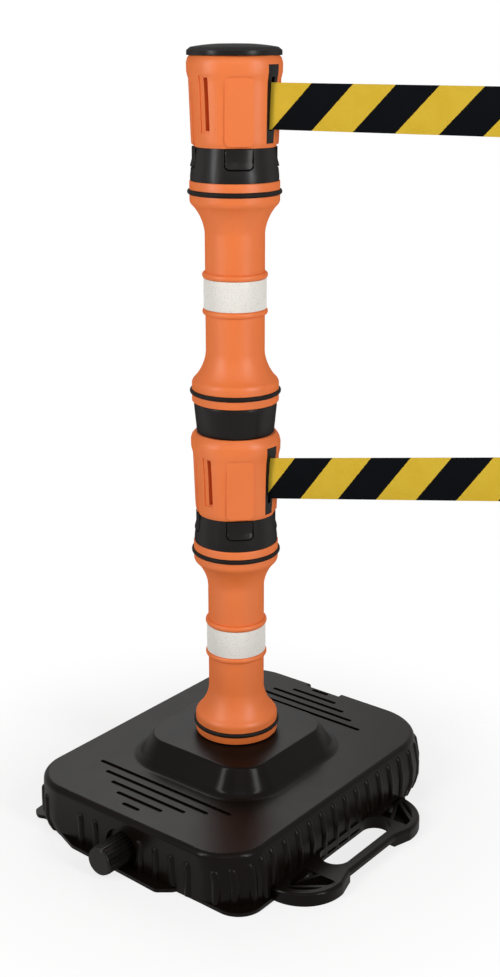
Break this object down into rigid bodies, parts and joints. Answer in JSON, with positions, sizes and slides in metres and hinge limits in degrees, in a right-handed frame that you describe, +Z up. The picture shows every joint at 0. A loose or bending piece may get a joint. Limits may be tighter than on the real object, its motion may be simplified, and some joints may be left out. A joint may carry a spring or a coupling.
{
  "type": "retractable belt queue pole",
  "caption": "Floor-standing pole of stacked post sections on a ballast base, with retractable belts on two levels, belt receivers, press tabs and a carry handle.",
  "frame": {"origin": "on the floor under the pole's axis, in the middle of the base's underside", "axes": "+Z up along the pole; X along the base's long side with the filler cap at -X; the carry handle and both belts are on the -Y side"},
  "size_m": [0.4523, 0.5604, 0.9018],
  "materials": {
    "orange_plastic": "satin moulded plastic",
    "black_plastic": "satin moulded plastic",
    "base_plastic": "satin blow-moulded plastic, finely grained",
    "rubber": "smooth rubber",
    "reflective": "reflective film",
    "steel": "bright steel",
    "inner_plastic": "plain moulded plastic",
    "webbing": "woven belt, yellow with slanting black stripes"
  },
  "bodies": {
    "base": {"base_tank": "base_plastic", "base_tray": "base_plastic"},
    "cap_seal": {"filler_seal": "rubber"},
    "cap": {"filler_cap": "black_plastic"},
    "lower_post_section": {"lower_post": "orange_plastic", "lower_band": "reflective", "lower_foot_ring": "rubber", "lower_head_ring": "rubber", "lower_collar": "black_plastic"},
    "lower_unit": {"lower_housing": "orange_plastic", "lower_spigot": "orange_plastic", "lower_slot_bezel": "black_plastic", "lower_spindle": "steel", "lower_power_spring": "steel", "lower_belt": "webbing", "lower_bridge": "inner_plastic", "lower_bridge_screws": "steel", "adaptor": "black_plastic"},
    "lower_reel": {"lower_spool": "inner_plastic", "lower_drum_cover": "inner_plastic", "lower_belt_roll": "webbing"},
    "lower_belt_end": {"lower_belt_clip": "black_plastic"},
    "lower_press_tab_1": {"lower_tab_1": "black_plastic"},
    "lower_press_tab_2": {"lower_tab_2": "black_plastic"},
    "lower_press_tab_3": {"lower_tab_3": "black_plastic"},
    "lower_press_tab_4": {"lower_tab_4": "black_plastic"},
    "upper_post_section": {"upper_post": "orange_plastic", "upper_band": "reflective", "upper_foot_ring": "rubber", "upper_head_ring": "rubber", "upper_collar": "black_plastic"},
    "upper_unit": {"upper_housing": "orange_plastic", "upper_spigot": "orange_plastic", "upper_slot_bezel": "black_plastic", "upper_spindle": "steel", "upper_power_spring": "steel", "upper_belt": "webbing", "upper_bridge": "inner_plastic", "upper_bridge_screws": "steel", "lid": "black_plastic"},
    "upper_reel": {"upper_spool": "inner_plastic", "upper_drum_cover": "inner_plastic", "upper_belt_roll": "webbing"},
    "upper_belt_end": {"upper_belt_clip": "black_plastic"},
    "upper_press_tab_1": {"upper_tab_1": "black_plastic"},
    "upper_press_tab_2": {"upper_tab_2": "black_plastic"},
    "upper_press_tab_3": {"upper_tab_3": "black_plastic"},
    "upper_press_tab_4": {"upper_tab_4": "black_plastic"}
  },
  "joints": [
    {"name": "cap_travel", "type": "slide", "parent": "base", "child": "cap_seal", "axis": [-1, 0, 0], "range_m": [0, 0.033]},
    {"name": "cap_turn", "type": "hinge", "parent": "cap_seal", "child": "cap", "pos_m": [-0.22, 0.006, 0.023], "axis": [-1, 0, 0], "range_deg": [0, 2376]},
    {"name": "lower_post_lift", "type": "slide", "parent": "base", "child": "lower_post_section", "axis": [0, 0, 1], "range_m": [0, 0.036]},
    {"name": "lower_tab_1_press", "type": "hinge", "parent": "lower_post_section", "child": "lower_press_tab_1", "pos_m": [0.02864, 0.02864, 0.3768], "axis": [-0.7071, 0.7071, 0], "range_deg": [0, 6], "stiffness_Nm_per_rad": 0.4},
    {"name": "lower_tab_2_press", "type": "hinge", "parent": "lower_post_section", "child": "lower_press_tab_2", "pos_m": [-0.02864, 0.02864, 0.3768], "axis": [-0.7071, -0.7071, 0], "range_deg": [0, 6], "stiffness_Nm_per_rad": 0.4},
    {"name": "lower_tab_3_press", "type": "hinge", "parent": "lower_post_section", "child": "lower_press_tab_3", "pos_m": [-0.02864, -0.02864, 0.3768], "axis": [0.7071, -0.7071, 0], "range_deg": [0, 6], "stiffness_Nm_per_rad": 0.4},
    {"name": "lower_tab_4_press", "type": "hinge", "parent": "lower_post_section", "child": "lower_press_tab_4", "pos_m": [0.02864, -0.02864, 0.3768], "axis": [0.7071, 0.7071, 0], "range_deg": [0, 6], "stiffness_Nm_per_rad": 0.4},
    {"name": "lower_unit_lift", "type": "slide", "parent": "lower_post_section", "child": "lower_unit", "axis": [0, 0, 1], "range_m": [0, 0.026]},
    {"name": "lower_belt_pull", "type": "slide", "parent": "lower_unit", "child": "lower_belt_end", "axis": [0.206, -0.9691, 0.1357], "range_m": [-0.3, 0], "deforming": ["lower_belt"]},
    {"name": "lower_reel_turn", "type": "hinge", "parent": "lower_unit", "child": "lower_reel", "pos_m": [0, 0, 0.4256], "axis": [0, 0, 1], "range_deg": [-500.2, 0]},
    {"name": "upper_post_lift", "type": "slide", "parent": "lower_unit", "child": "upper_post_section", "axis": [0, 0, 1], "range_m": [0, 0.036]},
    {"name": "upper_tab_1_press", "type": "hinge", "parent": "upper_post_section", "child": "upper_press_tab_1", "pos_m": [0.02864, 0.02864, 0.7924], "axis": [-0.7071, 0.7071, 0], "range_deg": [0, 6], "stiffness_Nm_per_rad": 0.4},
    {"name": "upper_tab_2_press", "type": "hinge", "parent": "upper_post_section", "child": "upper_press_tab_2", "pos_m": [-0.02864, 0.02864, 0.7924], "axis": [-0.7071, -0.7071, 0], "range_deg": [0, 6], "stiffness_Nm_per_rad": 0.4},
    {"name": "upper_tab_3_press", "type": "hinge", "parent": "upper_post_section", "child": "upper_press_tab_3", "pos_m": [-0.02864, -0.02864, 0.7924], "axis": [0.7071, -0.7071, 0], "range_deg": [0, 6], "stiffness_Nm_per_rad": 0.4},
    {"name": "upper_tab_4_press", "type": "hinge", "parent": "upper_post_section", "child": "upper_press_tab_4", "pos_m": [0.02864, -0.02864, 0.7924], "axis": [0.7071, 0.7071, 0], "range_deg": [0, 6], "stiffness_Nm_per_rad": 0.4},
    {"name": "upper_unit_lift", "type": "slide", "parent": "upper_post_section", "child": "upper_unit", "axis": [0, 0, 1], "range_m": [0, 0.026]},
    {"name": "upper_belt_pull", "type": "slide", "parent": "upper_unit", "child": "upper_belt_end", "axis": [0.2079, -0.9781, 0], "range_m": [-0.3, 0], "deforming": ["upper_belt"]},
    {"name": "upper_reel_turn", "type": "hinge", "parent": "upper_unit", "child": "upper_reel", "pos_m": [0, 0, 0.8412], "axis": [0, 0, 1], "range_deg": [-500.2, 0]}
  ],
  "couplings": [
    {"joint": "cap_travel", "follows": "cap_turn", "m_per_rad": 0.00079577},
    {"joint": "lower_reel_turn", "follows": "lower_belt_pull", "rad_per_m": 28.985},
    {"joint": "upper_reel_turn", "follows": "upper_belt_pull", "rad_per_m": 28.985}
  ]
}
